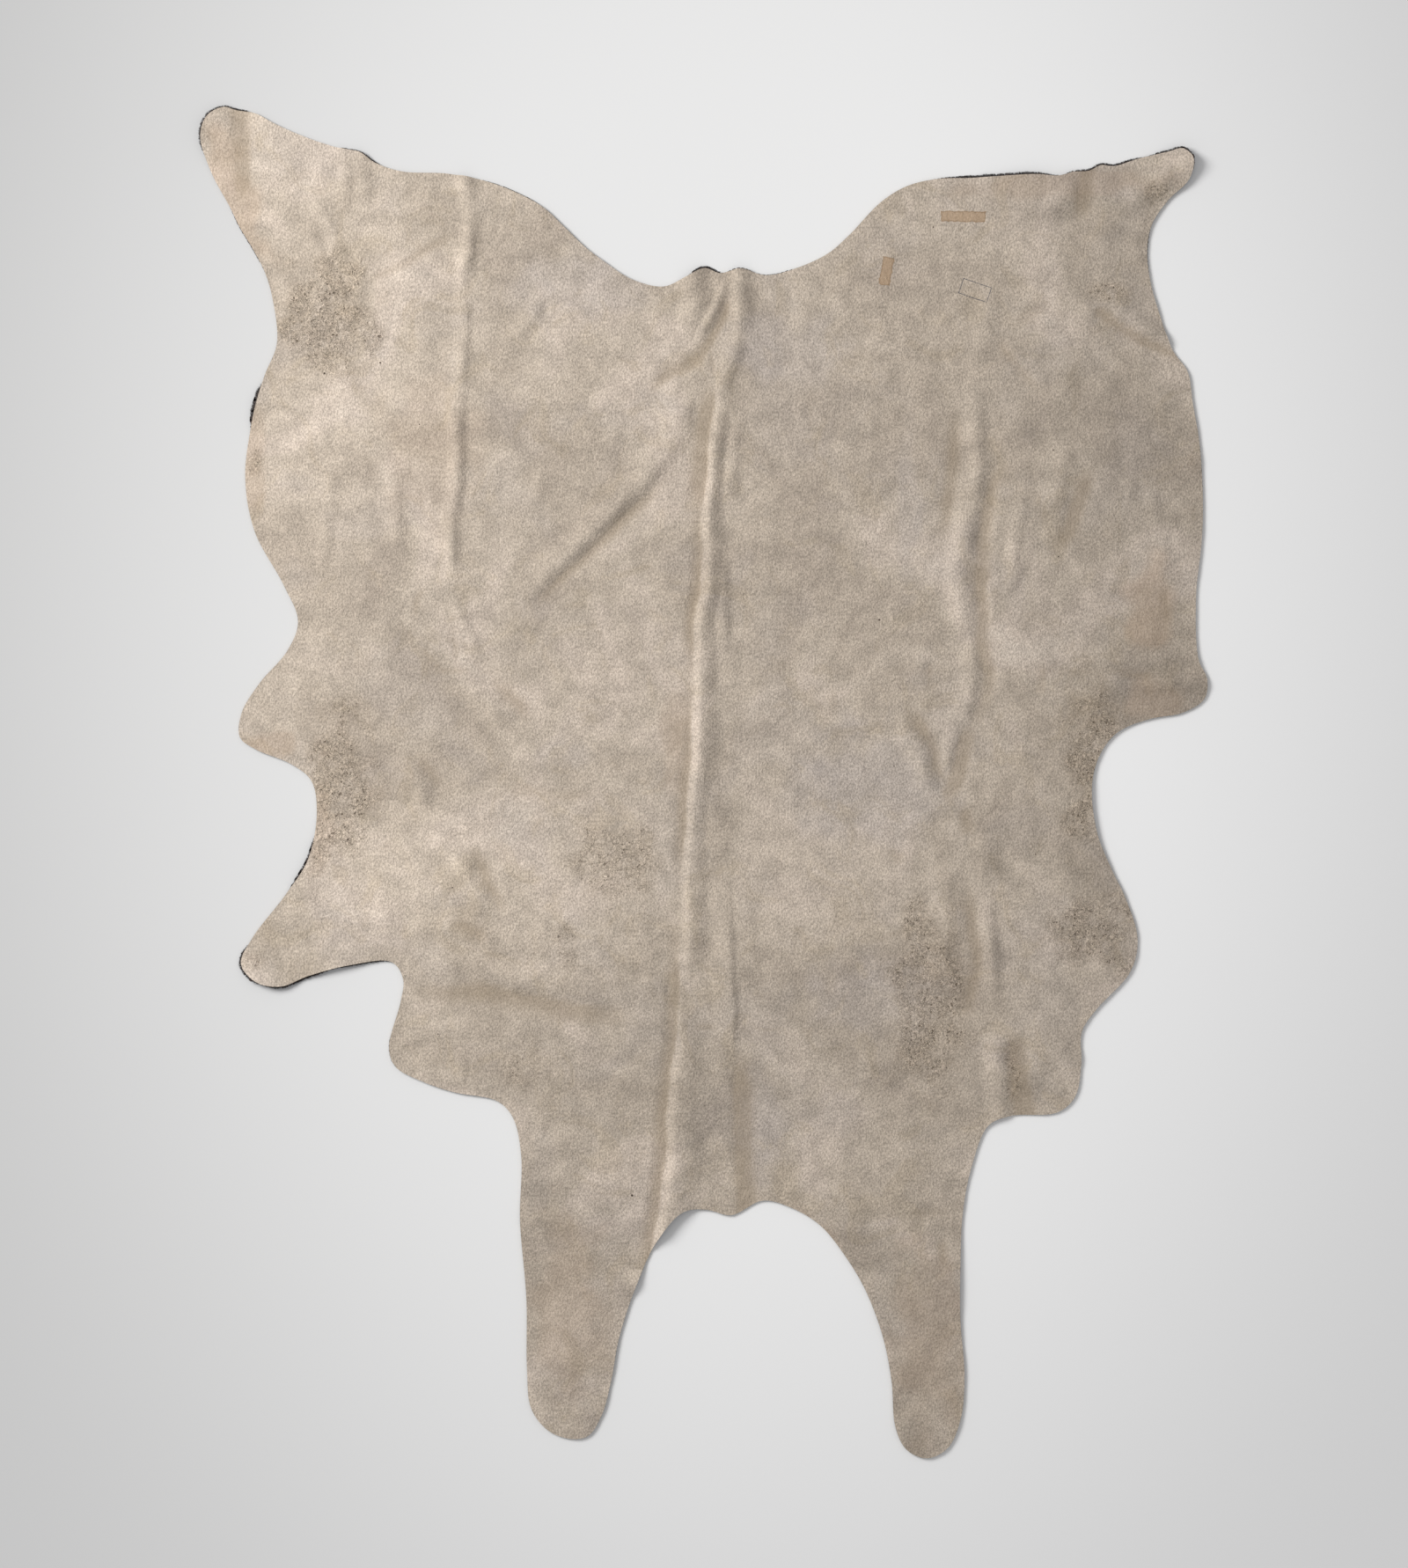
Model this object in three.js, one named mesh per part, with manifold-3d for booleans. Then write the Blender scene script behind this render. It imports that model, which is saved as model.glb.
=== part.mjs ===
// A whole cowhide rug with its hair on, lying hair side down on a floor, with the suede flesh side up.
// It is one skin: the solid is a thin sheet with the hide's cut outline, lying flat except where its folds lift it.
// Millimetres. +X is to the right and +Y towards the tail end, seen from above; +Z is up from the floor.
import * as THREE from "three";
import { mergeVertices } from "three/addons/utils/BufferGeometryUtils.js";
import Module from "manifold-3d";

const SKIN = 2.2; // thickness of the leather
const COAT = 1.8; // the hair lying pressed under it
const THICKNESS = SKIN + COAT;
const SUEDE = { color: 0xbcae9b, roughness: 0.95, metalness: 0 };

// The cut rim, clockwise from the tail end's left shank, as points [x, y] that a smooth curve runs through.
const RIM = [
  { run: "left shank, outer side",
    through: [[-728, 748], [-735, 822], [-748, 868], [-770, 911], [-789, 942], [-808, 980]] },
  { run: "left shank tip",
    through: [[-840, 1040], [-857, 1100], [-845, 1135], [-818, 1150], [-797, 1145], [-765, 1140]] },
  { run: "left shank, inner side",
    through: [[-735, 1124], [-686, 1102], [-630, 1083], [-586, 1073], [-561, 1056]] },
  { run: "left haunch",
    through: [[-515, 1041], [-436, 1037], [-358, 1020], [-279, 983]] },
  { run: "tail arch, left side",
    through: [[-238, 946], [-204, 913], [-167, 885], [-125, 858], [-70, 845], [-34, 860]] },
  { run: "tail root",
    through: [[2, 876], [26, 868], [62, 875], [105, 864], [150, 874]] },
  { run: "tail arch, right side",
    through: [[210, 901], [247, 933], [301, 989], [345, 1016], [395, 1028]] },
  { run: "right haunch",
    through: [[455, 1030], [566, 1035], [603, 1033], [629, 1040], [655, 1042], [676, 1052], [697, 1050]] },
  { run: "right shank tip",
    through: [[740, 1063], [790, 1074], [815, 1079], [831, 1062], [825, 1027], [790, 992]] },
  { run: "right shank, outer side",
    through: [[762, 950], [754, 905], [760, 852], [773, 805], [798, 736]] },
  { run: "right flank",
    through: [[823, 700], [832, 645], [843, 580], [849, 480], [847, 410], [838, 328]] },
  { run: "right flap",
    through: [[838, 240], [843, 205], [856, 178], [852, 143], [815, 119], [762, 109]] },
  { run: "right bay",
    through: [[706, 87], [675, 50], [660, -5], [669, -86], [697, -155]] },
  { run: "right belly",
    through: [[717, -196], [738, -268], [725, -323], [668, -386], [643, -424]] },
  { run: "lower right flap",
    through: [[642, -480], [631, -536], [601, -562], [520, -568], [484, -584]] },
  { run: "right foreleg, outer side",
    through: [[455, -655], [440, -735], [436, -826], [436, -915], [443, -1010]] },
  { run: "right foreleg tip",
    through: [[437, -1082], [415, -1133], [380, -1151], [345, -1137], [326, -1100]] },
  { run: "right foreleg, inner side",
    through: [[319, -1019], [304, -944], [274, -864], [238, -804], [198, -755]] },
  { run: "neck arch",
    through: [[150, -725], [100, -712], [46, -737], [6, -728], [-36, -731], [-80, -780]] },
  { run: "left foreleg, inner side",
    through: [[-116, -857], [-145, -945], [-159, -1020], [-175, -1078]] },
  { run: "left foreleg tip",
    through: [[-198, -1113], [-228, -1118], [-267, -1103], [-295, -1066]] },
  { run: "left foreleg, outer side",
    through: [[-302, -1000], [-303, -880], [-314, -745], [-312, -635], [-326, -571]] },
  { run: "lower left flap",
    through: [[-352, -543], [-428, -527], [-478, -510], [-526, -484], [-537, -452]] },
  { run: "lower left flap, upper side",
    through: [[-517, -372], [-513, -335], [-532, -306], [-605, -311]] },
  { run: "left leg flap",
    through: [[-676, -330], [-720, -347], [-762, -340], [-789, -309], [-770, -265]] },
  { run: "left bay",
    through: [[-714, -192], [-674, -130], [-660, -45], [-670, 4], [-705, 32]] },
  { run: "left flap",
    through: [[-765, 57], [-791, 77], [-788, 119], [-757, 170], [-710, 225]] },
  { run: "left flank",
    through: [[-692, 275], [-717, 337], [-766, 428], [-782, 520], [-771, 610], [-750, 690]] },
];
const RIM_STEP = 27; // spacing of the rim's facets

// Lines that the hide was folded along, from the tail end down, as points [x, y].
const SPINE = [[44, 866], [18, 690], [2, 556], [-4, 436], [-15, 166], [-22, -19], [-36, -209], [-80, -734]];
const LEFT_QUARTER = [[-414, 1036], [-401, 946], [-414, 736], [-423, 511], [-424, 361]];
const RIGHT_QUARTER = [[440, 1030], [440, 596], [424, 403], [450, 166], [470, -300]];

// Folds: a crest through points, its height, how wide its slopes are to the left and right of the way that the
// points run, and the end where it fades out. The other end runs on past the rim.
const FOLDS = [
  { fold: "spine, left strand at the tail", high: 9, left: 14, right: 24, fades: "end",
    crest: [[18, 900], [-2, 790], [12, 725], [22, 660]] },
  { fold: "spine, right strand at the tail", high: 11, left: 26, right: 16, fades: "end",
    crest: [[52, 900], [54, 790], [38, 725], [24, 640]] },
  { fold: "spine, ridge", high: 14, left: 28, right: 26, fades: "both",
    crest: [[26, 740], [8, 556], [3, 436], [-6, 166], [-14, 20], [-22, -90]] },
  { fold: "spine, left line", high: 11, left: 60, right: 24, fades: "start",
    crest: [[-14, 70], [-22, -100], [-34, -260], [-46, -400], [-66, -620], [-84, -800]] },
  { fold: "spine, raised middle", high: 8, left: 66, right: 70, fades: "start",
    crest: [[12, 20], [10, -200], [4, -400], [-4, -800]] },
  { fold: "spine, right line", high: 7, left: 18, right: 40, fades: "start",
    crest: [[36, 40], [46, -130], [50, -330], [54, -560], [62, -800]] },
  { fold: "left quarter", high: 10, left: 15, right: 28, fades: "end",
    crest: [[-413, 1060], [-402, 946], [-413, 736], [-422, 511], [-424, 340]] },
  { fold: "left quarter, lower end", high: 6, left: 36, right: 42, fades: "both",
    crest: [[-428, 400], [-405, 320], [-370, 240], [-330, 180]] },
  { fold: "diagonal", high: 9, left: 36, right: 44, fades: "both",
    crest: [[-24, 600], [-80, 523], [-152, 446], [-228, 366], [-310, 275]] },
  { fold: "right quarter, upper", high: 6, left: 70, right: 70, fades: "both",
    crest: [[440, 970], [446, 800], [444, 640]] },
  { fold: "right quarter, middle", high: 10, left: 30, right: 34, fades: "both",
    crest: [[446, 690], [437, 560], [424, 420], [440, 280]] },
  { fold: "right quarter, outer", high: 6, left: 34, right: 36, fades: "both",
    crest: [[486, 450], [480, 330], [490, 230]] },
  { fold: "right quarter, far", high: 7, left: 44, right: 46, fades: "both",
    crest: [[556, 490], [532, 360], [540, 240]] },
  { fold: "right quarter, lower", high: 8, left: 44, right: 34, fades: "both",
    crest: [[444, 210], [456, 90], [436, 0], [408, -70]] },
  { fold: "right lower crease", high: 9, left: 46, right: 26, fades: "both",
    crest: [[474, -110], [488, -270], [494, -390]] },
  { fold: "right foreleg crease", high: 7, left: 34, right: 50, fades: "start",
    crest: [[500, -420], [498, -500], [505, -600]] },
  { fold: "left belly, upper", high: 8, left: 44, right: 50, fades: "both",
    crest: [[-395, 205], [-345, 130], [-296, 56]] },
  { fold: "left belly, middle", high: 8, left: 46, right: 50, fades: "both",
    crest: [[-510, 80], [-470, 5], [-430, -50], [-380, -130]] },
  { fold: "left belly, lower", high: 9, left: 46, right: 50, fades: "both",
    crest: [[-428, -100], [-390, -180], [-350, -270]] },
  { fold: "left cross fold", high: 8, left: 60, right: 44, fades: "end",
    crest: [[-540, -300], [-420, -292], [-260, -320], [-60, -345]] },
  { fold: "left cross fold, lower", high: 6, left: 50, right: 60, fades: "end",
    crest: [[-560, -410], [-420, -395], [-230, -420]] },
  { fold: "left haunch pucker", high: 10, left: 22, right: 34, fades: "end",
    crest: [[-594, 1110], [-590, 1040], [-578, 950]] },
  { fold: "left haunch crease", high: 6, left: 30, right: 36, fades: "both",
    crest: [[-680, 1020], [-640, 900], [-618, 800], [-590, 720]] },
  { fold: "left shank crease", high: 8, left: 26, right: 46, fades: "end",
    crest: [[-776, 1170], [-780, 1080], [-778, 990]] },
  { fold: "right flap crease", high: 7, left: 42, right: 30, fades: "end",
    crest: [[880, 186], [800, 180], [720, 178]] },
  { fold: "right flank pucker", high: 6, left: 38, right: 30, fades: "end",
    crest: [[820, 740], [740, 764], [660, 806]] },
  { fold: "left foreleg crease", high: 5, left: 40, right: 50, fades: "end",
    crest: [[-330, -752], [-220, -758], [-100, -792]] },
];
const FADING = 1 / 3; // share of a fold's length over which it fades
const CROSSING = 0.3; // share of a lower fold that shows where a higher one crosses it

// Low swells where the hide never quite settled, and stretches of its rim that curl up off the floor: the middle
// of each, how far it reaches and how high it lifts.
const SWELLS = [
  { swell: "left shank tip", at: [-872, 1120], reach: 105, high: 13 },
  { swell: "right shank tip", at: [850, 1072], reach: 110, high: 12 },
  { swell: "right haunch", at: [560, 1062], reach: 130, high: 10 },
  { swell: "left flank rim", at: [-792, 650], reach: 80, high: 9 },
  { swell: "left bay", at: [-700, -125], reach: 90, high: 8 },
  { swell: "left leg flap", at: [-752, -368], reach: 100, high: 10 },
  { swell: "left leg flap, lower side", at: [-620, -335], reach: 90, high: 8 },
  { swell: "left haunch", at: [-520, 880], reach: 130, high: 4 },
  { swell: "left flank", at: [-610, 560], reach: 150, high: 4 },
  { swell: "left loin", at: [-230, 640], reach: 140, high: 3 },
  { swell: "right loin", at: [220, 700], reach: 150, high: 3 },
  { swell: "right flank", at: [680, 560], reach: 150, high: 4 },
  { swell: "right belly", at: [640, -60], reach: 130, high: 4 },
  { swell: "left shoulder", at: [-230, -130], reach: 150, high: 3 },
  { swell: "right shoulder", at: [240, -260], reach: 160, high: 4 },
  { swell: "right foreleg", at: [380, -860], reach: 110, high: 5 },
  { swell: "left foreleg", at: [-230, -960], reach: 100, high: 4 },
];

const COLUMNS = 12; // cells across each of the four bands between the fold lines
const CROWD = 0.6; // how much narrower the cells get towards a fold line, from 0 to 1
const ROWS = 60; // cells from the neck end to the tail end
const MARGIN = 16; // how far the uncut sheet reaches past the rim
const DEPTH = 120; // of the blocks that the sheet is cut from

const clamp01 = (t) => Math.min(1, Math.max(0, t));
const smooth = (t) => clamp01(t) ** 2 * (3 - 2 * clamp01(t));

function rimOutline() {
  const points = RIM.flatMap(({ through }) => through).map(([x, y]) => new THREE.Vector3(x, y, 0));
  const curve = new THREE.CatmullRomCurve3(points, true, "centripetal");
  curve.arcLengthDivisions = 2000;
  const count = Math.round(curve.getLength() / RIM_STEP);
  const spaced = curve.getSpacedPoints(count).slice(0, count);
  return spaced.map(({ x, y }) => new THREE.Vector2(x, y));
}

// The x of a fold line at a height y, straight between its points and upright past its ends.
function lineAt(line, y) {
  const below = line.findIndex((point) => point[1] <= y);
  if (below === 0) return line[0][0];
  if (below < 0) return line[line.length - 1][0];
  const [[x0, y0], [x1, y1]] = [line[below - 1], line[below]];
  return x0 + ((x1 - x0) * (y0 - y)) / (y0 - y1);
}

// Where a point lies by a crest: how far off it, on which side (left is +), and how far along it from 0 to 1.
function besideCrest(crest, x, y) {
  const best = { far: Infinity, side: 0, along: 0 };
  const lengths = crest.slice(1).map(([bx, by], i) => Math.hypot(bx - crest[i][0], by - crest[i][1]));
  const total = lengths.reduce((sum, length) => sum + length, 0);
  let before = 0;
  lengths.forEach((length, i) => {
    const [ax, ay] = crest[i];
    const [dx, dy] = [(crest[i + 1][0] - ax) / length, (crest[i + 1][1] - ay) / length];
    const t = Math.min(length, Math.max(0, (x - ax) * dx + (y - ay) * dy));
    const [px, py] = [x - ax - t * dx, y - ay - t * dy];
    const far = Math.hypot(px, py);
    if (far < best.far) {
      best.far = far;
      best.side = dx * py - dy * px;
      best.along = (before + t) / total;
    }
    before += length;
  });
  return best;
}

// A fold's section is a soft round crest with a slope on each side.
function foldLift({ crest, high, left, right, fades }, x, y) {
  const { far, side, along } = besideCrest(crest, x, y);
  const slope = side > 0 ? left : right;
  if (far >= slope) return 0;
  const start = fades === "end" ? 1 : smooth(along / FADING);
  const end = fades === "start" ? 1 : smooth((1 - along) / FADING);
  return high * start * end * 0.5 * (1 + Math.cos((Math.PI * far) / slope));
}

function swellLift({ at, reach, high }, x, y) {
  return high * smooth(1 - Math.hypot(x - at[0], y - at[1]) / reach);
}

// How far the underside is off the floor. Folds that cross keep the higher one, with a share of the others.
function lift(x, y) {
  const heights = [...FOLDS.map((f) => foldLift(f, x, y)), ...SWELLS.map((s) => swellLift(s, x, y))];
  const highest = Math.max(...heights);
  const others = heights.reduce((sum, h) => sum + h, 0) - highest;
  return highest + CROSSING * others;
}

// The x of the columns along one row: four bands side by side, with narrow cells by the three fold lines.
function columnsAt(y, left, right) {
  const lines = [left, lineAt(LEFT_QUARTER, y), lineAt(SPINE, y), lineAt(RIGHT_QUARTER, y), right];
  const narrowEnd = (t) => t + (CROWD * Math.sin(Math.PI * t)) / Math.PI;
  const narrowEnds = (t) => t - (CROWD * Math.sin(2 * Math.PI * t)) / (2 * Math.PI);
  const narrowStart = (t) => t - (CROWD * Math.sin(Math.PI * t)) / Math.PI;
  const columns = [left];
  [narrowEnd, narrowEnds, narrowEnds, narrowStart].forEach((spread, band) => {
    const width = lines[band + 1] - lines[band];
    for (let i = 1; i <= COLUMNS; i++) columns.push(lines[band] + width * spread(i / COLUMNS));
  });
  return columns;
}

// Everything below the hide's upper or under side: a box whose rows and columns follow the fold lines, with its
// top bent to the folds, at a distance above the underside.
function ground(rim, above) {
  const columns = 4 * COLUMNS;
  const box = new THREE.BoxGeometry(columns, ROWS, 1, columns, ROWS, 1);
  const rowStep = (rim.max.y - rim.min.y + 2 * MARGIN) / ROWS;
  const rows = Array.from({ length: ROWS + 1 }, (_, j) => rim.min.y - MARGIN + j * rowStep);
  const grid = rows.map((y) => columnsAt(y, rim.min.x - MARGIN, rim.max.x + MARGIN));
  const place = box.getAttribute("position");
  for (let i = 0; i < place.count; i++) {
    const j = Math.round(place.getY(i) + ROWS / 2);
    const x = grid[j][Math.round(place.getX(i) + columns / 2)];
    place.setXYZ(i, x, rows[j], place.getZ(i) > 0 ? lift(x, rows[j]) + above : -DEPTH);
  }
  return box;
}

// A tall prism with the hide's outline, which cuts the sheet.
function cutter(outline) {
  const prism = new THREE.ExtrudeGeometry(new THREE.Shape(outline), { depth: DEPTH, bevelEnabled: false });
  return prism.translate(0, 0, -DEPTH / 2);
}

const wasm = await Module();
wasm.setup();

function solidOf(geometry) {
  const bare = geometry.clone();
  bare.deleteAttribute("normal");
  bare.deleteAttribute("uv");
  const merged = mergeVertices(bare, 1e-3);
  return new wasm.Manifold(
    new wasm.Mesh({
      numProp: 3,
      vertProperties: merged.getAttribute("position").array,
      triVerts: new Uint32Array(merged.index.array),
    }),
  );
}

function geometryOf(solid) {
  const { vertProperties, triVerts } = solid.getMesh();
  const geometry = new THREE.BufferGeometry();
  geometry.setAttribute("position", new THREE.BufferAttribute(vertProperties, 3));
  geometry.setIndex(new THREE.BufferAttribute(triVerts, 1));
  geometry.computeVertexNormals();
  return geometry;
}

// The hide, moved so that the middle of its outline's box is at the origin.
function cowhide() {
  const outline = rimOutline();
  const rim = new THREE.Box2().setFromPoints(outline);
  const middle = rim.getCenter(new THREE.Vector2());
  const belowTop = solidOf(cutter(outline)).intersect(solidOf(ground(rim, THICKNESS)));
  const sheet = belowTop.subtract(solidOf(ground(rim, 0)));
  const mesh = new THREE.Mesh(geometryOf(sheet), new THREE.MeshStandardMaterial(SUEDE));
  mesh.name = "cowhide";
  mesh.position.set(-middle.x, -middle.y, 0);
  return mesh;
}

const rug = new THREE.Group();
rug.add(cowhide());

export default rug;
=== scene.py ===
# A whole cowhide rug, lying hair side down on a pale floor, with its suede flesh side up.
import math
from collections import namedtuple

import bmesh
import bpy
import numpy as np
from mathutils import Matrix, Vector, noise


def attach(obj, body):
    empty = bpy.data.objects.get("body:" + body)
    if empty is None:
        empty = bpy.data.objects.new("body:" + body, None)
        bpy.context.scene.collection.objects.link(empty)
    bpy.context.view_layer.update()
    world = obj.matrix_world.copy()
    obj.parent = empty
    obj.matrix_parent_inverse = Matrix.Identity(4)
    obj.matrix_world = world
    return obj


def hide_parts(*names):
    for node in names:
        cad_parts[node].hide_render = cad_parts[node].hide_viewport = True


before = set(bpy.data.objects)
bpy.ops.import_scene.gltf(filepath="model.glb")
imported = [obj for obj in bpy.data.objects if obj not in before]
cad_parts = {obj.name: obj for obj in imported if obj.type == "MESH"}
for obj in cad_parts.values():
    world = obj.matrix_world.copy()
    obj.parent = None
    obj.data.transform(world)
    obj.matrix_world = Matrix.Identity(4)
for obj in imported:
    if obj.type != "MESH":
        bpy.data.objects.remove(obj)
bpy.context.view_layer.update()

MM = 0.001
SEED = 7
NODE = "cowhide"

# The skin, and the coat of hair that it lies on, in millimetres.
SKIN = 2.2
COAT_PRESSED = 1.8

# How the skin lies on the coat, in millimetres: how much higher than pressed flat on average, how far that
# goes up and down, the height of the coarse and the fine cockle, and how near the rim it starts to lie
# flatter.
SLACK = 2.4
WALLOW = 3.0
COCKLE = 0.7
FINE_COCKLE = 0.36
RIM_FLAT = 70
# Shares of 1: the slack left at the rim, how uneven the folds are, and what a second fold adds where two
# cross.
RIM_SLACK = 0.35
UNEVEN = 0.28
CROSSING = 0.3
# A fold fades out over one part in this many of its length.
FADE = 3.2
# The cut edge's rounding: its width, and how far it drops. Its corners past this angle in degrees are
# crisp.
EDGE = 1.1
EDGE_DROP = 0.7
CRISP = 50
# Troughs at least this deep, in millimetres, get the most dirt and painted shade that creases get.
CREASE_DEEP = 4.0

# The coat follows folds at least this high, up to a share of their height, and at its hem it reaches out by
# a share of the hair that shows there, give or take a little.
MAIN_FOLD = 7
COAT_FOLLOWS = 0.8
HEM_SHARE = 0.82
HEM_UNEVEN = 0.12

# The camera's height and the length of floor along the picture's longer side, in metres, and the view's
# middle and the sensor, in millimetres.
CAMERA_HEIGHT = 6.0
VIEW_LENGTH = 2.673
VIEW_MIDDLE = (-0.6, -1.9)
SENSOR = 36.0

# The light: the way to the round key light, how far off and how wide it is in metres, its power in watts,
# how brightly it lights a white floor in the middle, and how brightly the even fill does. The floor's reach
# is in metres.
KEY_FROM = (-0.70, 0.38, 0.66)
KEY_AWAY = 4.8
KEY_WIDE = 2.4
KEY_POWER = 205
KEY_SHARE = 0.57
FILL = 0.48
FLOOR_REACH = 9

# The cut rim, clockwise from the tail end's left shank: points in millimetres that a smooth curve runs
# through.
RIM = (
    # left shank, outer side and tip
    (-728, 748), (-735, 822), (-748, 868), (-770, 911), (-789, 942), (-808, 980),
    (-840, 1040), (-857, 1100), (-845, 1135), (-818, 1150), (-797, 1145), (-765, 1140),
    # left shank, inner side, and left haunch
    (-735, 1124), (-686, 1102), (-630, 1083), (-586, 1073), (-561, 1056),
    (-515, 1041), (-436, 1037), (-358, 1020), (-279, 983),
    # tail arch and tail root
    (-238, 946), (-204, 913), (-167, 885), (-125, 858), (-70, 845), (-34, 860),
    (2, 876), (26, 868), (62, 875), (105, 864), (150, 874),
    (210, 901), (247, 933), (301, 989), (345, 1016), (395, 1028),
    # right haunch and right shank
    (455, 1030), (566, 1035), (603, 1033), (629, 1040), (655, 1042), (676, 1052), (697, 1050),
    (740, 1063), (790, 1074), (815, 1079), (831, 1062), (825, 1027), (790, 992),
    (762, 950), (754, 905), (760, 852), (773, 805), (798, 736),
    # right flank, flap, bay and belly
    (823, 700), (832, 645), (843, 580), (849, 480), (847, 410), (838, 328),
    (838, 240), (843, 205), (856, 178), (852, 143), (815, 119), (762, 109),
    (706, 87), (675, 50), (660, -5), (669, -86), (697, -155),
    (717, -196), (738, -268), (725, -323), (668, -386), (643, -424),
    (642, -480), (631, -536), (601, -562), (520, -568), (484, -584),
    # right foreleg
    (455, -655), (440, -735), (436, -826), (436, -915), (443, -1010),
    (437, -1082), (415, -1133), (380, -1151), (345, -1137), (326, -1100),
    (319, -1019), (304, -944), (274, -864), (238, -804), (198, -755),
    # neck arch and left foreleg
    (150, -725), (100, -712), (46, -737), (6, -728), (-36, -731), (-80, -780),
    (-116, -857), (-145, -945), (-159, -1020), (-175, -1078),
    (-198, -1113), (-228, -1118), (-267, -1103), (-295, -1066),
    (-302, -1000), (-303, -880), (-314, -745), (-312, -635), (-326, -571),
    # lower left flap and left leg flap
    (-352, -543), (-428, -527), (-478, -510), (-526, -484), (-537, -452),
    (-517, -372), (-513, -335), (-532, -306), (-605, -311),
    (-676, -330), (-720, -347), (-762, -340), (-789, -309), (-770, -265),
    # left bay, flap and flank
    (-714, -192), (-674, -130), (-660, -45), (-670, 4), (-705, 32),
    (-765, 57), (-791, 77), (-788, 119), (-757, 170), (-710, 225),
    (-692, 275), (-717, 337), (-766, 428), (-782, 520), (-771, 610), (-750, 690),
)
RIM_STEP = 7.0


def table(kind, *rows):
    """Rows that are all of one kind."""
    return tuple(kind(*row) for row in rows)


# Ridges (height above 0) and troughs (below 0) of the skin, in millimetres. left and right are the widths
# of the two slopes, seen along the way that the crest's points run. fades names the ends where the fold
# dies away. form is "bell" (soft crest and feet) or "peak" (crisp crest, soft feet).
Fold = namedtuple("Fold", "name high left right crest fades form", defaults=("both", "bell"))
SPINE_FOLDS = table(
    Fold,
    ("left strand at the tail", 9, 34, 34,
     ((-18, 905), (-18, 860), (-19, 820), (-20, 780), (-24, 745)), "end"),
    ("strand across the notch", 8, 24, 10,
     ((38, 862), (33, 845), (20, 814), (8, 790), (-6, 764), (-24, 744))),
    ("right strand at the tail", 11, 36, 20,
     ((62, 905), (58, 862), (56, 815), (60, 775), (66, 745)), "end"),
    ("diamond facet", 9, 24, 30, ((62, 765), (58, 740), (44, 708), (32, 684), (24, 660))),
    ("gully under the strands", -6, 14, 22,
     ((34, 815), (24, 785), (10, 755), (-6, 725), (-30, 706), (-60, 695), (-84, 672), (-104, 652)), "end"),
    ("crack beside the diamond", -4, 4, 5,
     ((13, 742), (12, 728), (16, 706), (18, 688), (18, 668)), "both", "peak"),
    ("ridge, upper part", 11, 30, 14,
     ((30, 690), (25, 640), (19, 600), (15, 560), (12, 520), (10, 480), (9, 440), (7, 400), (5, 360))),
    ("ridge's side, upper part", 5, 26, 22, ((50, 660), (48, 600), (46, 550), (42, 500), (36, 460))),
    ("ridge, middle part", 12, 34, 14,
     ((10, 500), (9, 440), (7, 400), (5, 360), (5, 320), (-1, 290), (-5, 250), (-6, 200), (-8, 150),
      (-10, 100), (-11, 50))),
    ("right shoulder", 5, 20, 36, ((24, 420), (26, 380), (28, 330), (30, 290), (30, 240), (26, 200))),
    ("knot on the ridge", 5, 14, 12, ((12, 478), (12, 450), (8, 424))),
    ("ridge, lower part", 11, 46, 12,
     ((-6, 200), (-8, 150), (-10, 100), (-11, 50), (-13, 0), (-16, -50), (-20, -95), (-24, -140))),
    ("shoulder above the box", 7, 34, 30, ((16, 20), (14, -30), (18, -70), (24, -110), (30, -150))),
    ("left line, upper part", 9, 40, 16,
     ((-20, -40), (-22, -100), (-24, -150), (-24, -200), (-24, -250), (-24, -300), (-22, -340))),
    ("left line, lower part", 11, 60, 18,
     ((-28, -372), (-36, -410), (-36, -450), (-43, -520), (-49, -580), (-51, -650), (-56, -700),
      (-69, -770), (-74, -800)), "start"),
    ("right line", 6, 12, 40,
     ((36, -150), (40, -200), (43, -250), (45, -300), (46, -360), (46, -420), (46, -500))),
    ("right line's lower valley", -6, 34, 20,
     ((56, -440), (60, -520), (63, -600), (64, -660), (66, -740), (68, -800)), "start"),
    ("valley left of the upper ridge", -7, 6, 36,
     ((16, 700), (11, 640), (5, 600), (1, 560), (-2, 520), (-4, 480), (-6, 440))),
    ("valley left of the middle ridge", -4, 5, 22,
     ((-4, 500), (-7, 440), (-8, 400), (-10, 360), (-10, 320), (-16, 290), (-20, 250), (-20, 200),
      (-23, 150))),
    ("valley left of the lower ridge", -5, 5, 24,
     ((-20, 200), (-23, 150), (-25, 100), (-26, 50), (-28, 0), (-31, -50), (-35, -90), (-38, -140),
      (-38, -190))),
    ("wide hollow left of the ridge", -3, 20, 50, ((-34, 130), (-38, 80), (-42, 30))),
    ("valley left of the lower line", -5, 6, 26,
     ((-38, -190), (-44, -250), (-46, -300), (-47, -350), (-50, -400), (-55, -450), (-61, -520),
      (-67, -580), (-70, -650), (-76, -700), (-88, -770), (-92, -810)), "start"),
    ("branch at the left line", 5, 12, 12, ((-112, -338), (-90, -340), (-72, -350), (-58, -368))),
    ("cross crease on the spine", -3, 9, 7,
     ((-52, -404), (-30, -412), (0, -416), (44, -412)), "both", "peak"),
)
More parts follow.
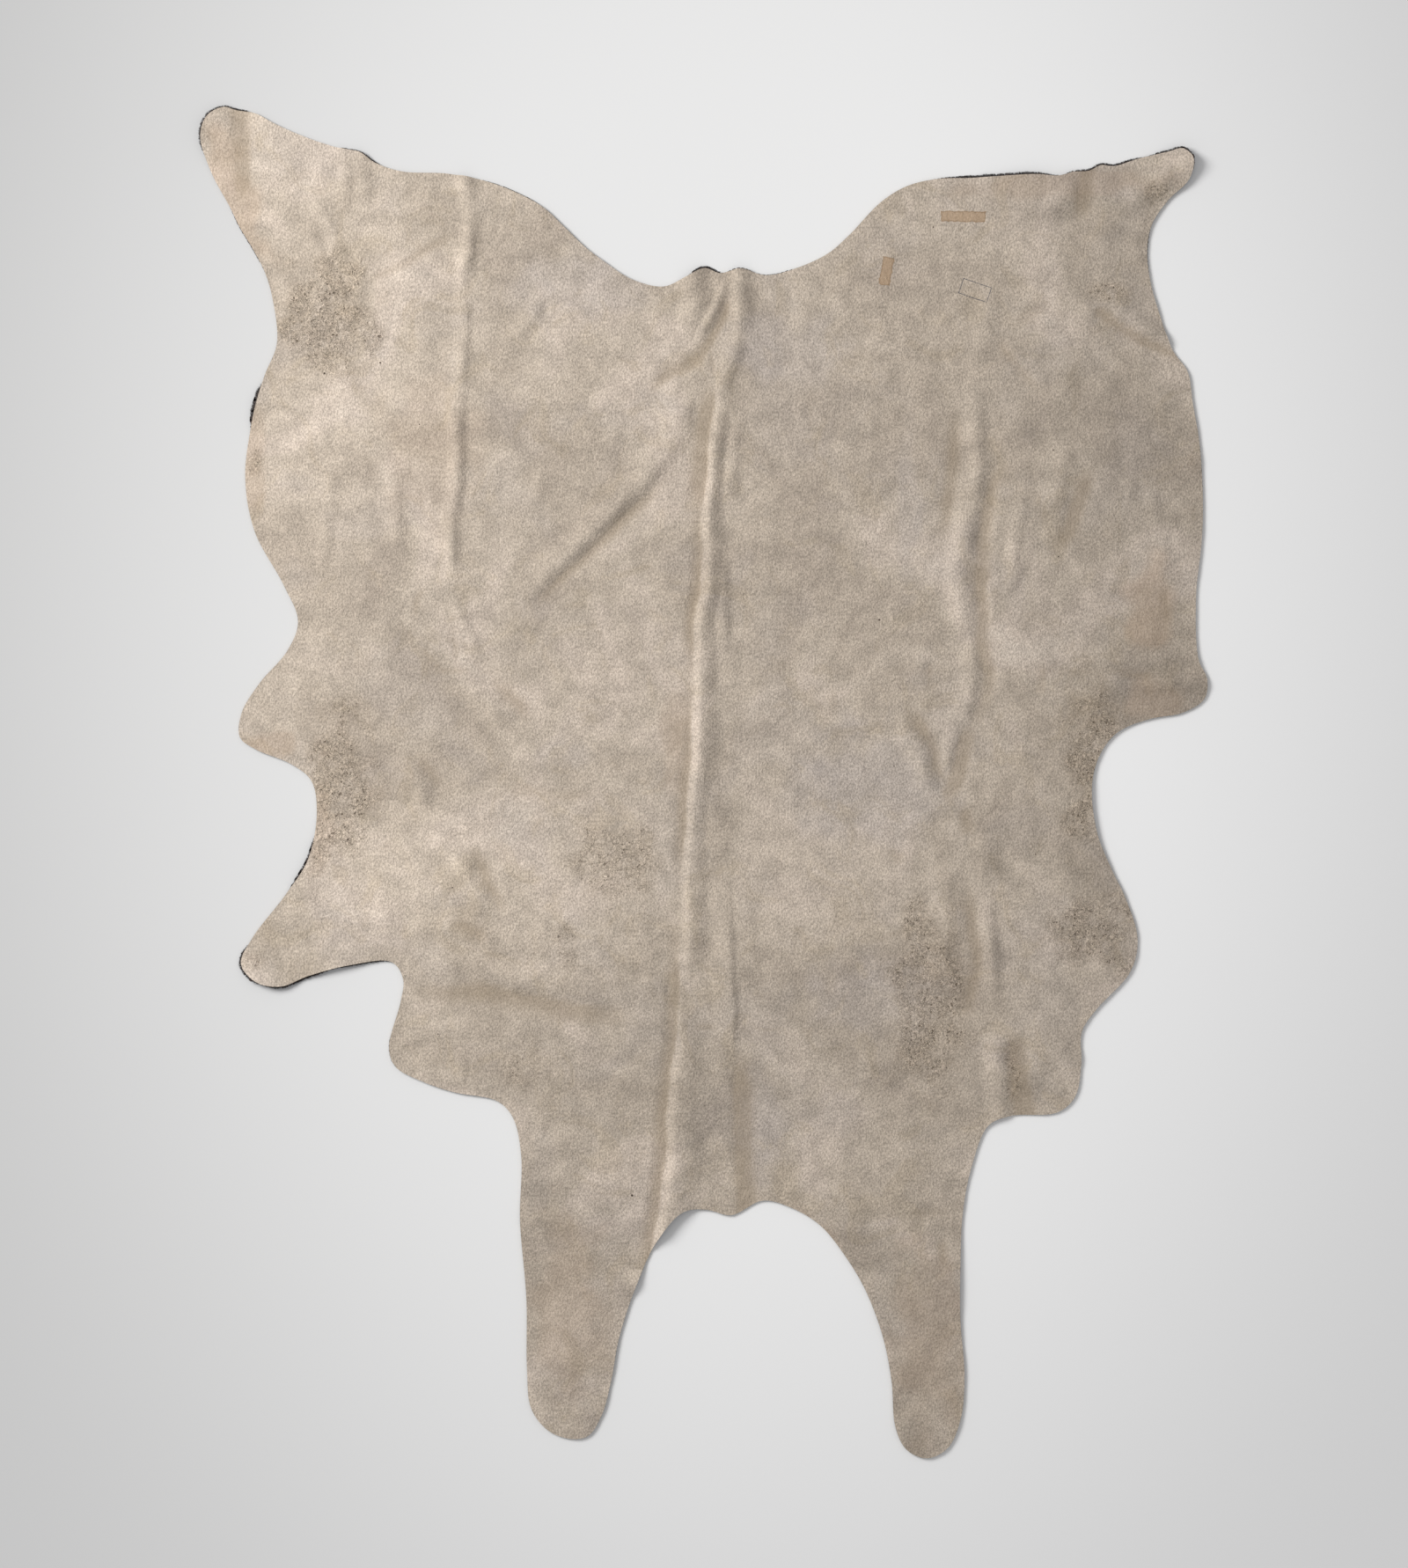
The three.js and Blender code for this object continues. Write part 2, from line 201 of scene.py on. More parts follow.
LEFT_FOLDS = table(
    Fold,
    ("left quarter, tail end", 7, 22, 22,
     ((-414, 1070), (-405, 1015), (-396, 980), (-395, 940), (-400, 905), (-411, 868), (-417, 832)), "end"),
    ("left quarter, upper part", 5, 18, 20,
     ((-410, 850), (-410, 800), (-410, 750), (-413, 700), (-416, 660))),
    ("left quarter, lower part", 7, 20, 24,
     ((-411, 730), (-414, 690), (-417, 640), (-420, 600), (-421, 550), (-424, 500), (-429, 460),
      (-430, 420), (-430, 380), (-427, 335), (-418, 300))),
    ("left quarter, thin end", 4, 10, 10,
     ((-440, 326), (-424, 302), (-408, 276), (-394, 246), (-384, 222), (-372, 200))),
    ("ring below the quarter", -2.5, 8, 8,
     ((-486, 250), (-470, 214), (-450, 193), (-420, 189), (-388, 192))),
    ("small valley in the ring", -2.5, 9, 9, ((-430, 250), (-426, 230), (-424, 204))),
    ("diagonal", 8, 18, 44,
     ((-70, 550), (-105, 510), (-148, 468), (-192, 424), (-228, 386), (-262, 350), (-292, 322),
      (-322, 294))),
    ("diagonal, spine end", 7, 30, 46,
     ((-22, 700), (-30, 660), (-38, 610), (-62, 565), (-100, 520), (-150, 470))),
    ("valley under the diagonal", -4, 22, 12,
     ((-50, 545), (-88, 500), (-128, 462), (-184, 408), (-222, 374), (-258, 340), (-290, 308),
      (-316, 284))),
    ("haunch pucker", 8, 28, 20,
     ((-590, 1110), (-584, 1060), (-580, 1020), (-580, 985), (-582, 962)), "end"),
    ("second haunch pucker", 5, 14, 16, ((-616, 1100), (-610, 1040), (-606, 1000), (-604, 970)), "end"),
    ("haunch crease", 5, 14, 20,
     ((-712, 1040), (-690, 1020), (-668, 998), (-652, 976), (-638, 952), (-628, 925), (-618, 895),
      (-612, 860))),
    ("second haunch crease", 5, 12, 18,
     ((-694, 980), (-680, 950), (-664, 925), (-648, 900), (-636, 868), (-628, 840))),
    ("third haunch crease", 5, 14, 16,
     ((-596, 920), (-586, 890), (-583, 850), (-590, 815), (-604, 790), (-608, 750))),
    ("haunch cross fold", 5, 26, 24, ((-640, 968), (-570, 970), (-500, 970), (-420, 972))),
    ("haunch long crease", -3, 12, 14,
     ((-600, 838), (-560, 862), (-510, 884), (-480, 902), (-440, 924), (-412, 940))),
    ("shank valley", -8, 24, 20,
     ((-793, 1170), (-791, 1110), (-790, 1070), (-788, 1030), (-786, 980)), "end"),
    ("shank cross fold", 4, 20, 16, ((-800, 955), (-760, 955), (-720, 958), (-690, 965))),
    ("faint line on the flank", -1.5, 8, 8, ((-690, 662), (-640, 664), (-590, 672), (-530, 688))),
    ("loin stroke", 4, 16, 22, ((-262, 850), (-290, 805), (-312, 760), (-330, 730))),
    ("flank fold", 5, 20, 24,
     ((-552, 590), (-540, 550), (-527, 510), (-524, 470), (-524, 430), (-518, 390), (-508, 350))),
    ("outer flank fold", 3.5, 16, 20, ((-634, 560), (-636, 500), (-636, 440), (-650, 380), (-648, 330))),
    ("flank hook", -3, 8, 10, ((-470, 336), (-484, 318), (-490, 296), (-490, 278))),
    ("loin dimple", 4, 22, 18, ((-284, 535), (-286, 500), (-290, 462))),
    ("left belly ridge", 5, 24, 26, ((-404, 196), (-384, 166), (-364, 138), (-344, 108), (-330, 80))),
    ("left belly valley", -4, 18, 20, ((-372, 186), (-340, 158), (-312, 128), (-292, 96))),
    ("side ridge", 6, 22, 26, ((-516, 52), (-500, 26), (-485, 4), (-474, -18), (-462, -36))),
    ("side valley", -3, 16, 18, ((-490, 56), (-474, 30), (-456, 8), (-444, -12))),
    ("side cross fold", 4, 18, 14,
     ((-520, -36), (-500, -54), (-470, -64), (-436, -74), (-400, -84), (-366, -90))),
    ("shoulder ridge", 7, 24, 28, ((-424, -108), (-412, -140), (-400, -172), (-382, -200), (-366, -230))),
    ("shoulder valley", -4, 18, 18, ((-394, -104), (-382, -140), (-370, -172), (-350, -200), (-336, -232))),
    ("shoulder hook", -4, 16, 22, ((-440, -236), (-410, -242), (-384, -256), (-372, -280))),
    ("cross fold", 6, 26, 26,
     ((-530, -318), (-480, -322), (-430, -306), (-390, -312), (-340, -328), (-280, -342), (-230, -354),
      (-170, -362), (-90, -368))),
    ("cross fold's valley", -5, 20, 40,
     ((-530, -348), (-480, -354), (-430, -358), (-380, -350), (-330, -364), (-280, -372), (-230, -384),
      (-170, -390), (-90, -398))),
    ("lower cross fold", 4, 24, 20,
     ((-550, -448), (-500, -438), (-460, -428), (-400, -414), (-360, -420), (-320, -436), (-290, -458))),
    ("small upright fold", 3, 12, 14, ((-412, -452), (-414, -490), (-416, -524))),
    ("long line on the loin", -2, 14, 16, ((-370, 2), (-300, -16), (-240, -24), (-160, -12))),
    ("leg flap fold", 3, 24, 22, ((-560, -120), (-552, -180), (-538, -230), (-520, -262), (-500, -300))),
    ("foreleg cross crease", 4, 24, 20, ((-340, -742), (-290, -744), (-240, -750), (-190, -764))),
    ("second foreleg crease", 5, 26, 22,
     ((-240, -826), (-205, -840), (-170, -856), (-130, -858), (-95, -846)), "start"),
    ("foreleg long line", 2.5, 16, 14, ((-244, -905), (-230, -950), (-222, -1005))),
)
RIGHT_FOLDS = table(
    Fold,
    ("right quarter, soft top", 4, 30, 26,
     ((490, 960), (492, 900), (486, 840), (480, 780), (474, 730), (468, 680))),
    ("right quarter, upper part", 6, 24, 26,
     ((472, 720), (466, 660), (464, 600), (463, 550), (460, 510), (452, 475), (446, 440))),
    ("right quarter, lower part", 7, 30, 30,
     ((460, 510), (452, 475), (446, 440), (440, 405), (434, 370), (434, 340), (438, 300), (444, 262),
      (450, 225))),
    ("right quarter, lowest part", 5, 22, 24,
     ((446, 250), (452, 215), (456, 180), (452, 148), (440, 120), (424, 92))),
    ("valley left of the right quarter", -4, 18, 18,
     ((432, 650), (427, 600), (422, 550), (418, 500), (414, 460), (404, 400))),
    ("valley right of the right quarter", -5, 22, 20,
     ((494, 610), (494, 560), (494, 520), (486, 485), (478, 450), (472, 415), (474, 370), (475, 330),
      (474, 290), (472, 250), (478, 210), (482, 175), (476, 140), (464, 116), (448, 90), (438, 62))),
    ("outer ridge", 3, 8, 9, ((488, 350), (486, 315), (490, 285), (498, 262))),
    ("far ridge", 4, 16, 22, ((545, 530), (540, 480), (534, 430), (526, 390), (530, 340), (528, 290))),
    ("far valley", -5, 24, 22, ((660, 545), (645, 505), (632, 470), (618, 430), (602, 402), (606, 376))),
    ("flank ridge", 4, 20, 30, ((632, 600), (618, 555), (606, 510), (596, 465), (586, 430))),
    ("thin far crease", -2.5, 8, 8, ((560, 500), (572, 468), (582, 438))),
    ("outer flank crease", 3, 14, 20, ((722, 540), (724, 500), (726, 462))),
    ("flank wave", 3, 18, 16, ((756, 540), (766, 470), (782, 400), (776, 355), (758, 315))),
    ("flank's lower crease", -4, 16, 14, ((775, 335), (785, 300), (795, 262))),
    ("dimple", -2.5, 10, 10, ((398, 204), (382, 190), (380, 170), (398, 158))),
    ("short crease by the flap", -3.5, 14, 12, ((574, 205), (572, 180), (570, 145))),
    ("flap crease", 5, 14, 16, ((700, 172), (740, 168), (790, 166), (840, 166), (880, 168)), "end"),
    ("flap crease's valley", -3, 12, 10, ((690, 186), (730, 184), (770, 180))),
    ("V, left ridge", 5, 22, 28, ((330, 120), (350, 84), (368, 54), (380, 24), (390, -8), (396, -40))),
    ("V, left trough", -5, 22, 20, ((340, 136), (362, 100), (380, 74), (392, 46), (400, 14), (404, -20))),
    ("V, middle ridge", 5, 22, 18, ((424, 110), (416, 76), (412, 40), (404, 8))),
    ("V, right trough", -6, 26, 20, ((456, 112), (442, 76), (436, 40), (426, 8), (418, -20), (418, -50))),
    ("belly knot", -5, 22, 16, ((440, -38), (446, -64), (448, -92))),
    ("upper crease", 7, 32, 26, ((470, -80), (480, -110), (482, -135), (474, -165))),
    ("second lower crease", 5, 36, 32,
     ((424, -110), (418, -150), (414, -190), (408, -240), (406, -290), (404, -340), (404, -390))),
    ("lower crease", 7, 16, 22,
     ((482, -180), (486, -220), (489, -260), (492, -300), (494, -340), (492, -385))),
    ("valley between the lower creases", -4, 18, 20,
     ((452, -150), (456, -200), (458, -250), (466, -290), (462, -330), (448, -370), (452, -420))),
    ("foreleg flap valley", -8, 26, 34,
     ((532, -420), (536, -460), (538, -500), (544, -540), (550, -600)), "start"),
    ("foreleg flap ridge", 6, 30, 34, ((496, -410), (498, -460), (502, -510), (508, -600)), "start"),
    ("haunch line", 4, 16, 22, ((478, 944), (520, 962), (560, 974), (600, 988), (626, 1012))),
    ("haunch mild valley", -4, 28, 20, ((652, 1070), (650, 1030), (646, 1000), (642, 950)), "end"),
    ("small haunch crease", -2.5, 10, 12, ((498, 772), (512, 738), (532, 710), (552, 688), (574, 664))),
    ("soft haunch crease", -2, 16, 18, ((600, 820), (560, 800), (520, 772))),
    ("soft haunch ridge", 3, 20, 24, ((656, 810), (648, 760), (642, 700))),
    ("flank pucker", 5, 18, 18, ((690, 820), (730, 786), (765, 770), (830, 745)), "end"),
    ("flank pucker's valley", -6, 14, 14,
     ((672, 800), (710, 774), (742, 754), (775, 744), (830, 716)), "end"),
    ("right shank crease", 5, 26, 20, ((860, 1080), (790, 1030), (740, 990), (700, 940)), "end"),
    ("right foreleg dimple", -4, 14, 16, ((402, -770), (408, -800), (408, -835))),
    ("right foreleg cross line", -2, 10, 12, ((340, -732), (380, -734), (420, -728))),
    ("small V on the right belly", -2.5, 12, 12, ((315, -112), (330, -128), (348, -128))),
    ("thin line on the right belly", -1.5, 6, 6, ((280, -270), (340, -250), (365, -240))),
)
FOLDS = SPINE_FOLDS + LEFT_FOLDS + RIGHT_FOLDS

# Stretches that lift off the floor as the rim curls, and low swells: middle, reach and height in
# millimetres.
Swell = namedtuple("Swell", "name x y reach high")
SWELLS = table(
    Swell,
    ("left shank tip", -872, 1120, 105, 13),
    ("right shank tip", 850, 1072, 110, 12),
    ("right haunch", 560, 1062, 130, 10),
    ("left flank rim", -792, 650, 80, 9),
    ("left bay", -700, -125, 90, 8),
    ("left leg flap", -752, -368, 100, 10),
    ("left leg flap, lower side", -620, -335, 90, 8),
    ("left haunch", -520, 880, 130, 4),
    ("left flank", -610, 560, 150, 4),
    ("left loin", -230, 640, 140, 3),
    ("right loin", 220, 700, 150, 3),
    ("right flank", 680, 560, 150, 4),
    ("right belly", 640, -60, 130, 4),
    ("left shoulder", -230, -130, 150, 3),
    ("right shoulder", 240, -260, 160, 4),
    ("right foreleg", 380, -860, 110, 5),
    ("left foreleg", -230, -960, 100, 4),
)

# Faint lines across the whole hide from the way it was packed: y at the left and right rim, depth, half
# width. Beside each the skin stands up by a share of the line's depth. The hide's half width is in
# millimetres.
PackLine = namedtuple("PackLine", "left right deep wide")
PACK_LINES = table(
    PackLine,
    (690, 735, 1.0, 9),
    (196, 188, 1.1, 9),
    (-372, -460, 0.9, 9),
)
PACK_BANKS = 0.6
HALF_WIDTH = 860

# Patches of ground with something in common: middle, half length and half width, turn in degrees, strength.
Patch = namedtuple("Patch", "name x y long wide turn strength")
# Ground left rough by the flaying knife.
ROUGH = table(
    Patch,
    ("left haunch", -645, 800, 108, 95, -60, 1.0),
    ("left flank", -765, 548, 24, 15, 90, 0.7),
    ("left bay", -622, -14, 165, 72, 90, 0.9),
    ("left leg flap", -772, -307, 24, 20, 0, 0.6),
    ("beside the spine", -150, -130, 90, 70, 0, 0.7),
    ("low beside the spine", -232, -277, 37, 22, 90, 0.6),
    ("left of the neck", -308, -479, 45, 37, 90, 0.45),
    ("right shoulder", 382, -367, 172, 76, 90, 0.9),
    ("foreleg flap", 525, -494, 60, 16, 90, 0.7),
    ("right bay", 668, 46, 150, 62, 90, 0.95),
    ("right bay, lower", 637, -58, 43, 29, 90, 0.9),
    ("right belly", 655, -250, 85, 70, 0, 0.9),
    ("right belly, outer", 717, -312, 29, 18, 90, 0.9),
    ("right haunch", 694, 837, 41, 19, 0, 0.8),
    ("right shank", 772, 1006, 30, 22, 90, 0.8),
    ("right flank", 834, 548, 22, 10, 90, 0.7),
)
# Tone of the ground, lighter above 0 and darker below it: partly the hide's own, as on the darker legs, and
# partly painted light and shade, paler on the left and darker towards the right side and the lower belly.
TONE_AND_PAINTED_LIGHT = table(
    Patch,
    ("left shank, inner side", -765, 1090, 80, 60, 0, 0.8),
    ("left shoulder", -530, -150, 170, 110, 0, 1.0),
    ("left chest", -270, -210, 190, 130, 0, 0.4),
    ("lower left flap", -425, -450, 110, 60, 0, 0.5),
    ("beside the spine, low", 112, -564, 110, 30, 90, 0.4),
    ("left belt", -362, 248, 338, 88, 0, -0.3),
    ("left side, upper half", -560, 640, 340, 190, 90, 0.4),
    ("lower belly", -20, -480, 520, 170, 0, -0.5),
    ("right side", 720, 250, 900, 190, 90, -0.7),
    ("right haunch, top edge", 612, 1010, 230, 60, 0, -0.7),
    ("right flap", 760, 150, 110, 90, 0, -0.6),
    ("right belly knot", 487, -127, 60, 50, 0, -0.4),
    ("right belly", 650, -264, 70, 60, 0, -0.4),
    ("foreleg flap", 525, -527, 70, 50, 0, -0.5),
    ("left foreleg", -230, -880, 260, 110, 90, -0.6),
    ("left foreleg, root", -262, -727, 60, 50, 0, -0.5),
    ("left foreleg, inner side", -150, -864, 60, 40, 0, -0.4),
    ("right foreleg", 370, -930, 250, 110, 90, -0.7),
    ("right foreleg, inner side", 262, -790, 60, 50, 0, -0.5),
    ("right foreleg, tip", 375, -1114, 60, 40, 0, -0.5),
)
# Ground stained brown by fat and dust.
TAN = table(
    Patch,
    ("left shank, outer side", -800, 1010, 150, 34, -70, 0.8),
    ("left haunch", -465, 570, 140, 90, 90, 0.35),
    ("left flank rim", -770, 540, 120, 22, 90, 0.6),
    ("left flap, lower rim", -740, 70, 50, 26, 0, 0.7),
    ("left bay rim", -650, -70, 100, 24, 90, 0.6),
    ("right flank", 755, 300, 90, 45, 90, 0.8),
    ("right flap", 760, 140, 60, 40, 0, 0.7),
    ("right haunch rim", 620, 1020, 180, 24, 4, 0.5),
    ("left foreleg", -230, -900, 180, 70, 90, 0.45),
    ("right foreleg", 380, -950, 180, 70, 90, 0.5),
    ("neck arch, right side", 190, -775, 70, 26, -50, 0.6),
    ("left of the spine", -54, 65, 90, 22, 90, 0.4),
)
# Ground of a cooler grey.
LILAC = table(
    Patch,
    ("left loin", -200, 845, 110, 60, 0, 0.7),
    ("right of the tail", 135, 737, 110, 70, 0, 0.7),
    ("left of the right quarter", 345, 465, 145, 25, 90, 0.6),
    ("right belly", 285, 0, 140, 110, 0, 0.9),
    ("left belly", -236, 47, 46, 34, 0, 0.6),
    ("right shoulder", 310, -360, 140, 80, 0, 0.7),
    ("lower spine", 95, -588, 110, 50, 90, 0.7),
)

# Where dark hair shows past the cut rim: place, reach along the rim and how far it shows, in millimetres.
HairAt = namedtuple("HairAt", "name x y reach shows")
HAIR_AT = table(
    HairAt,
    ("left shank tip", -850, 1120, 60, 5.0),
    ("left shank top", -806, 1150, 40, 4.0),
    ("haunch pucker", -585, 1066, 50, 3.0),
    ("left haunch", -330, 1008, 80, 1.8),
    ("tail root, left", 0, 876, 34, 5.0),
    ("tail root, right", 60, 872, 30, 2.0),
    ("tail arch, right", 120, 868, 50, 2.0),
    ("right haunch", 500, 1032, 130, 5.5),
    ("right haunch, far", 680, 1050, 90, 4.5),
    ("right shank top", 800, 1080, 60, 4.5),
    ("right shank side", 754, 905, 50, 2.0),
    ("left flank bump", -764, 640, 46, 7.0),
    ("left bay", -678, -142, 60, 4.5),
    ("left leg flap tip", -785, -320, 50, 5.0),
    ("left leg flap, lower side", -690, -338, 80, 4.5),
    ("left leg flap, inner end", -580, -312, 60, 3.5),
    ("right flank", 845, 540, 160, 1.0),
    ("left shank side", -780, 925, 80, 1.6),
    ("lower left flap", -533, -460, 40, 1.2),
)
# The least that shows anywhere, the number of hairs along the rim, their width, and how far in they are
# rooted.
HAIR_LEAST = 0.15
HAIRS = 18000
HAIR_WIDTH = 0.8
HAIR_ROOTS = (2.5, 5.0)


def smooth(t):
    t = np.clip(t, 0, 1)
    return t * t * (3 - 2 * t)


def waves(xy, size, seed):
    """Gentle noise from about -1 to 1 at points in millimetres, with bumps of about the size given."""
    return np.array([noise.noise(Vector((x / size, y / size, seed))) for x, y in xy]) * 1.6


def rim_points():
    """The rim as points close together on a smooth closed curve through its knots."""
    knots = np.array(RIM, float)
    count = len(knots)
    points = []
    for i in range(count):
        p0, p1, p2, p3 = (knots[(i + k - 1) % count] for k in range(4))
        gaps = [max(1e-6, np.linalg.norm(b - a) ** 0.5) for a, b in ((p0, p1), (p1, p2), (p2, p3))]
        m1 = (p1 - p0) / gaps[0] - (p2 - p0) / (gaps[0] + gaps[1]) + (p2 - p1) / gaps[1]
        m2 = (p2 - p1) / gaps[1] - (p3 - p1) / (gaps[1] + gaps[2]) + (p3 - p2) / gaps[2]
        m1, m2 = m1 * gaps[1], m2 * gaps[1]
        steps = max(2, round(np.linalg.norm(p2 - p1) / RIM_STEP))
        for t in np.arange(steps) / steps:
            bend = 3 * (p2 - p1) - 2 * m1 - m2
            twist = 2 * (p1 - p2) + m1 + m2
            points.append(p1 + t * m1 + t * t * bend + t ** 3 * twist)
    return np.array(points)


RIM_CURVE = rim_points()
MIDDLE = (RIM_CURVE.min(0) + RIM_CURVE.max(0)) / 2


def from_line(points, line):
    """How far each point is from a line of points, on which side (left is +) and how far along it, 0 to 1."""
    line = np.array(line, float)
    spans = np.linalg.norm(np.diff(line, axis=0), axis=1)
    starts = np.concatenate(([0], np.cumsum(spans)))
    far = np.full(len(points), np.inf)
    side = np.zeros(len(points))
    along = np.zeros(len(points))
    for i, span in enumerate(spans):
        way = (line[i + 1] - line[i]) / span
        off = points - line[i]
        t = np.clip(off @ way, 0, span)
        rest = off - t[:, None] * way
        gap = np.linalg.norm(rest, axis=1)
        near = gap < far
        far[near] = gap[near]
        side[near] = (way[0] * rest[:, 1] - way[1] * rest[:, 0])[near]
        along[near] = (starts[i] + t[near]) / starts[-1]
    return far, side, along


def fold_heights(xy, fold):
    """One fold's height over the points, 0 past its slopes."""
    far, side, along = from_line(xy, fold.crest)
    t = np.clip(far / np.where(side > 0, fold.left, fold.right), 0, 1)
    shape = (1 - t) ** 1.5 if fold.form == "peak" else 0.5 * (1 + np.cos(np.pi * t))
    if fold.fades in ("start", "both"):
        shape = shape * smooth(along * FADE)
    if fold.fades in ("end", "both"):
        shape = shape * smooth((1 - along) * FADE)
    return fold.high * shape


def swell_heights(xy, swell):
    return swell.high * smooth(1 - np.hypot(xy[:, 0] - swell.x, xy[:, 1] - swell.y) / swell.reach)


def pack_line_heights(xy, line):
    part = (xy[:, 0] + HALF_WIDTH) / (2 * HALF_WIDTH)
    off = np.abs(xy[:, 1] - (line.left + (line.right - line.left) * part))
    dip = np.exp(-((off / line.wide) ** 2))
    banks = np.exp(-((off / line.wide / 3) ** 2))
    return -line.deep * dip + PACK_BANKS * line.deep * banks


def heights(xy):
    """Height of the skin's upper side over the floor, and the ridges and troughs alone, in millimetres."""
    bent = xy + np.stack([waves(xy, 70, 1.3) * 3.2 + waves(xy, 22, 2.3) * 0.9,
                          waves(xy, 80, 4.7) * 3.0], axis=1)
    uneven = 1 + UNEVEN * waves(xy, 60, 9.1)
    up = np.zeros(len(xy))
    down = np.zeros(len(xy))
    total = np.zeros(len(xy))
    for fold in FOLDS:
        h = fold_heights(bent, fold)
        if fold.high > 0:
            total += np.maximum(h, 0)
            up = np.maximum(up, h)
        else:
            down = np.minimum(down, h)
    ridges = up + CROSSING * (total - up)
    lifts = np.max([swell_heights(xy, s) for s in SWELLS], axis=0)
    packed = sum(pack_line_heights(bent, line) for line in PACK_LINES)
    wallow = WALLOW * (0.55 * waves(xy, 170, 3.1) + 0.35 * waves(xy, 75, 5.9))
    cockle = COCKLE * waves(xy, 34, 6.4) + FINE_COCKLE * waves(xy, 18, 8.2)
    relief = uneven * (ridges + down) + packed
    flatter = RIM_SLACK + (1 - RIM_SLACK) * smooth(rim_distance(xy) / RIM_FLAT)
    slack = (SLACK + wallow) * flatter + cockle + relief
    floor = 0.5 * (slack + np.sqrt(slack ** 2 + 1.2 ** 2))
    top = SKIN + COAT_PRESSED + floor + lifts
    return top, relief


def lift_of_coat(xy):
    """Height of the coat's underside over the floor: the main folds and the curled rim carry it up."""
    up = np.zeros(len(xy))
    for fold in FOLDS:
        if fold.high >= MAIN_FOLD:
            up = np.maximum(up, fold_heights(xy, fold))
    lifts = np.max([swell_heights(xy, s) for s in SWELLS], axis=0)
    return np.maximum(up * COAT_FOLLOWS, lifts)


def beside_rim(xy):
    """For each point, the way out across the nearest stretch of rim, and how far the hair shows there."""
    rim = RIM_CURVE - MIDDLE
    along = np.roll(rim, -1, axis=0) - np.roll(rim, 1, axis=0)
    out = np.stack([-along[:, 1], along[:, 0]], axis=1) / np.linalg.norm(along, axis=1)[:, None]
    nearest = np.array([np.argmin(np.hypot(rim[:, 0] - x, rim[:, 1] - y)) for x, y in xy])
    shows = np.full(len(xy), HAIR_LEAST)
    for spot in HAIR_AT:
        off = np.hypot(xy[:, 0] + MIDDLE[0] - spot.x, xy[:, 1] + MIDDLE[1] - spot.y)
        shows = np.maximum(shows, spot.shows * smooth(1.6 * (1 - off / spot.reach)))
    return out[nearest], shows


def cuts_between(stretches):
    """Places of evenly spaced cuts from stretches of (start, end, number of cuts), in metres."""
    return [MM * (start + (end - start) * k / count) for start, end, count in stretches for k in range(count)]


# Where the sheet is diced: closer together over the folds along the spine and the quarters.
ACROSS = cuts_between([(-862, -440, 50), (-440, -384, 12), (-384, -100, 35), (-100, 76, 44),
                       (76, 400, 40), (400, 560, 27), (560, 862, 36)])
ALONG = cuts_between([(-1154, 1154, 278)])


def diced(bm, faces, axis, cuts):
    """Cuts the faces across an axis at each of the cuts, halving the lot each time."""
    if not cuts or not faces:
        return
    middle = len(cuts) // 2
    point, normal = [0.0] * 3, [0.0] * 3
    point[axis], normal[axis] = cuts[middle], 1.0
    geom = set(faces) | {e for f in faces for e in f.edges} | {v for f in faces for v in f.verts}
    made = bmesh.ops.bisect_plane(bm, geom=list(geom), dist=1e-6, plane_co=point, plane_no=normal)["geom"]
    faces = [g for g in made if isinstance(g, bmesh.types.BMFace)]
    low = [f for f in faces if f.calc_center_median()[axis] < cuts[middle]]
    high = [f for f in faces if f.calc_center_median()[axis] >= cuts[middle]]
    diced(bm, low, axis, cuts[:middle])
    diced(bm, high, axis, cuts[middle + 1:])


def cut_sheet():
    """The hide's outline as a flat sheet, diced small enough to take its folds, its middle at the origin. A
    narrow strip runs all round it inside the rim, for the rounding of the cut edge."""
    bm = bmesh.new()
    rim = RIM_CURVE - MIDDLE
    outline = bm.faces.new([bm.verts.new((MM * x, MM * y, 0)) for x, y in rim[::-1]])
    bmesh.ops.inset_region(bm, faces=[outline], thickness=MM * EDGE, use_boundary=True, use_even_offset=True)
    diced(bm, list(bm.faces), 1, ALONG)
    diced(bm, list(bm.faces), 0, ACROSS)
    bm.verts.ensure_lookup_table()
    bm.verts.index_update()
    return bm


def places(bm):
    """The x and y of the sheet's vertices in the hide's own millimetres."""
    return np.array([v.co[:2] for v in bm.verts]) / MM + MIDDLE


def finish_piece(bm, name, materials):
    """Makes a smooth mesh object of the bmesh, with its materials, riding on the part."""
    bmesh.ops.recalc_face_normals(bm, faces=bm.faces)
    mesh = bpy.data.meshes.new(name)
    bm.to_mesh(mesh)
    bm.free()
    for material in materials:
        mesh.materials.append(material)
    mesh.shade_smooth()
    piece = bpy.data.objects.new(name, mesh)
    bpy.context.scene.collection.objects.link(piece)
    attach(piece, "root")
    return piece


def patches_at(xy, patches):
    """The strengths of the patches that each point lies in, added up. Their edges are ragged and soft."""
    ragged = 0.35 * waves(xy, 38, 7.7)
    total = np.zeros(len(xy))
    for patch in patches:
        turn = math.radians(patch.turn)
        dx, dy = xy[:, 0] - patch.x, xy[:, 1] - patch.y
        u = (dx * math.cos(turn) + dy * math.sin(turn)) / patch.long
        v = (dy * math.cos(turn) - dx * math.sin(turn)) / patch.wide
        total += patch.strength * smooth(1.5 * (1.15 - np.hypot(u, v) - ragged))
    return total


def rim_distance(xy):
    """How far each point is in from the rim."""
    far = np.empty(len(xy))
    for start in range(0, len(xy), 4000):
        some = xy[start:start + 4000]
        gaps = np.hypot(some[:, None, 0] - RIM_CURVE[None, :, 0], some[:, None, 1] - RIM_CURVE[None, :, 1])
        far[start:start + 4000] = gaps.min(1)
    return far


def mark(bm, name, values):
    """Keeps a number at each vertex, for a material to read."""
    layer = bm.verts.layers.float.new(name)
    for vert, value in zip(bm.verts, values):
        vert[layer] = value


